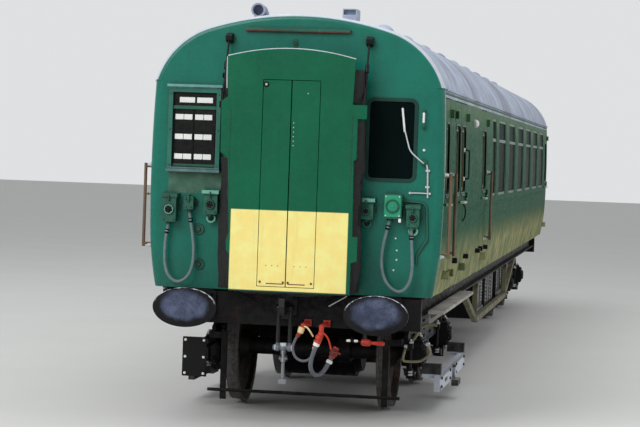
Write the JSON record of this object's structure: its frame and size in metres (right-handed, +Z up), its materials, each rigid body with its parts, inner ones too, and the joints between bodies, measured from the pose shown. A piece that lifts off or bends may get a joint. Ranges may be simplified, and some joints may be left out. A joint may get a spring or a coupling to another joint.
{
  "type": "railway passenger driving motor coach",
  "caption": "Passenger driving motor coach of an electric multiple unit: gangwayed cab end, side doors, saloon windows, bogies, buffers and running gear.",
  "frame": {"origin": "middle of the coach on the plane that the wheel flanges stand on", "axes": "+X to the right seen from the cab end looking in, +Y from the cab end to the inner end, +Z up; the rail top is 0.030 m above the origin"},
  "size_m": [2.8944, 20.6258, 3.8951],
  "materials": {
    "body_paint": "gloss",
    "front_paint": "gloss",
    "roof_paint": "weathered satin",
    "underframe_black": "satin",
    "wheel_steel": "worn",
    "window_glass": "gloss",
    "window_frame": "painted",
    "seat_cloth": "woven",
    "floor_covering": "matt",
    "interior_panel": "varnished",
    "bellows_rubber": "matt",
    "grab_rail": "painted",
    "cable_rubber": "matt",
    "hose_rubber": "matt",
    "pipe_red": "gloss",
    "beam_timber": "painted",
    "buffer_steel": "worn"
  },
  "bodies": {
    "coach_body": {"side_walls": "body_paint", "front_end": "front_paint", "gangway_end_board": "front_paint", "headcode_box": "front_paint", "jumper_fittings": "front_paint", "rear_end": "front_paint", "front_fittings": "front_paint", "roof": "roof_paint", "roof_ventilators": "roof_paint", "underframe": "underframe_black", "underframe_truss": "underframe_black", "equipment_cases": "underframe_black", "draw_gear": "underframe_black", "inner_coupling": "underframe_black", "gangway_rear_faceplate": "underframe_black", "footboards": "underframe_black", "gangway_suspension": "underframe_black", "window_glass": "window_glass", "window_frames": "window_frame", "seats": "seat_cloth", "floor": "floor_covering", "partitions": "interior_panel", "driver_desk": "interior_panel", "gangway_bellows": "bellows_rubber", "gangway_rear_bellows": "bellows_rubber", "handrails": "grab_rail", "jumper_cable_left": "cable_rubber", "jumper_cable_right": "cable_rubber", "brake_hose_left": "hose_rubber", "brake_hose_right": "hose_rubber", "brake_pipes": "pipe_red", "hose_heads": "pipe_red", "buffers": "buffer_steel"},
    "motor_bogie": {"motor_bogie_frame": "underframe_black", "motor_bogie_axleboxes": "underframe_black", "motor_bogie_springs": "underframe_black", "motor_bogie_brakes": "underframe_black", "traction_motors": "underframe_black", "shoe_gear": "beam_timber", "guard_irons": "underframe_black"},
    "trailer_bogie": {"trailer_bogie_frame": "underframe_black", "trailer_bogie_axleboxes": "underframe_black", "trailer_bogie_springs": "underframe_black", "trailer_bogie_brakes": "underframe_black"},
    "motor_wheelset_leading": {"motor_wheelset_leading": "wheel_steel"},
    "motor_wheelset_trailing": {"motor_wheelset_trailing": "wheel_steel"},
    "trailer_wheelset_leading": {"trailer_wheelset_leading": "wheel_steel"},
    "trailer_wheelset_trailing": {"trailer_wheelset_trailing": "wheel_steel"},
    "cab_door_right": {"cab_door_right": "body_paint"},
    "cab_door_left": {"cab_door_left": "body_paint"},
    "van_leaf_front_right": {"van_leaf_front_right": "body_paint"},
    "van_leaf_front_left": {"van_leaf_front_left": "body_paint"},
    "van_leaf_rear_right": {"van_leaf_rear_right": "body_paint"},
    "van_leaf_rear_left": {"van_leaf_rear_left": "body_paint"},
    "passenger_door_right": {"passenger_door_right": "body_paint"},
    "passenger_door_left": {"passenger_door_left": "body_paint"},
    "inner_end_door_right": {"inner_end_door_right": "body_paint"},
    "inner_end_door_left": {"inner_end_door_left": "body_paint"},
    "gangway_leaf_right": {"gangway_leaf_right": "front_paint"},
    "gangway_leaf_left": {"gangway_leaf_left": "front_paint"}
  },
  "joints": [
    {"name": "motor_bogie_turn", "type": "hinge", "parent": "coach_body", "child": "motor_bogie", "pos_m": [0, -6.705, 0.93], "axis": [0, 0, 1], "range_deg": [-5, 5]},
    {"name": "motor_wheelset_leading_spin", "type": "hinge", "parent": "motor_bogie", "child": "motor_wheelset_leading", "pos_m": [0, -8.04, 0.576], "axis": [1, 0, 0], "continuous": true},
    {"name": "motor_wheelset_trailing_spin", "type": "hinge", "parent": "motor_bogie", "child": "motor_wheelset_trailing", "pos_m": [0, -5.37, 0.576], "axis": [1, 0, 0], "continuous": true},
    {"name": "trailer_bogie_turn", "type": "hinge", "parent": "coach_body", "child": "trailer_bogie", "pos_m": [0, 6.705, 0.93], "axis": [0, 0, 1], "range_deg": [-5, 5]},
    {"name": "trailer_wheelset_leading_spin", "type": "hinge", "parent": "trailer_bogie", "child": "trailer_wheelset_leading", "pos_m": [0, 5.37, 0.576], "axis": [1, 0, 0], "continuous": true},
    {"name": "trailer_wheelset_trailing_spin", "type": "hinge", "parent": "trailer_bogie", "child": "trailer_wheelset_trailing", "pos_m": [0, 8.04, 0.576], "axis": [1, 0, 0], "continuous": true},
    {"name": "cab_door_right_hinge", "type": "hinge", "parent": "coach_body", "child": "cab_door_right", "pos_m": [1.39, -9.065, 2.13], "axis": [0, 0, 1], "range_deg": [0, 90]},
    {"name": "cab_door_left_hinge", "type": "hinge", "parent": "coach_body", "child": "cab_door_left", "pos_m": [-1.39, -9.065, 2.13], "axis": [0, 0, -1], "range_deg": [0, 90]},
    {"name": "van_leaf_front_right_hinge", "type": "hinge", "parent": "coach_body", "child": "van_leaf_front_right", "pos_m": [1.39, -8.555, 2.13], "axis": [0, 0, -1], "range_deg": [0, 90]},
    {"name": "van_leaf_front_left_hinge", "type": "hinge", "parent": "coach_body", "child": "van_leaf_front_left", "pos_m": [-1.39, -8.555, 2.13], "axis": [0, 0, 1], "range_deg": [0, 90]},
    {"name": "van_leaf_rear_right_hinge", "type": "hinge", "parent": "coach_body", "child": "van_leaf_rear_right", "pos_m": [1.39, -7.275, 2.13], "axis": [0, 0, 1], "range_deg": [0, 90]},
    {"name": "van_leaf_rear_left_hinge", "type": "hinge", "parent": "coach_body", "child": "van_leaf_rear_left", "pos_m": [-1.39, -7.275, 2.13], "axis": [0, 0, -1], "range_deg": [0, 90]},
    {"name": "passenger_door_right_hinge", "type": "hinge", "parent": "coach_body", "child": "passenger_door_right", "pos_m": [1.39, -4.525, 2.13], "axis": [0, 0, 1], "range_deg": [0, 90]},
    {"name": "passenger_door_left_hinge", "type": "hinge", "parent": "coach_body", "child": "passenger_door_left", "pos_m": [-1.39, -4.525, 2.13], "axis": [0, 0, -1], "range_deg": [0, 90]},
    {"name": "inner_end_door_right_hinge", "type": "hinge", "parent": "coach_body", "child": "inner_end_door_right", "pos_m": [1.39, 9.475, 2.13], "axis": [0, 0, 1], "range_deg": [0, 90]},
    {"name": "inner_end_door_left_hinge", "type": "hinge", "parent": "coach_body", "child": "inner_end_door_left", "pos_m": [-1.39, 9.475, 2.13], "axis": [0, 0, -1], "range_deg": [0, 90]},
    {"name": "gangway_leaf_right_hinge", "type": "hinge", "parent": "coach_body", "child": "gangway_leaf_right", "pos_m": [0.266, -9.983, 2.23], "axis": [0, 0, -1], "range_deg": [0, 90]},
    {"name": "gangway_leaf_left_hinge", "type": "hinge", "parent": "coach_body", "child": "gangway_leaf_left", "pos_m": [-0.266, -9.983, 2.23], "axis": [0, 0, 1], "range_deg": [0, 90]}
  ]
}
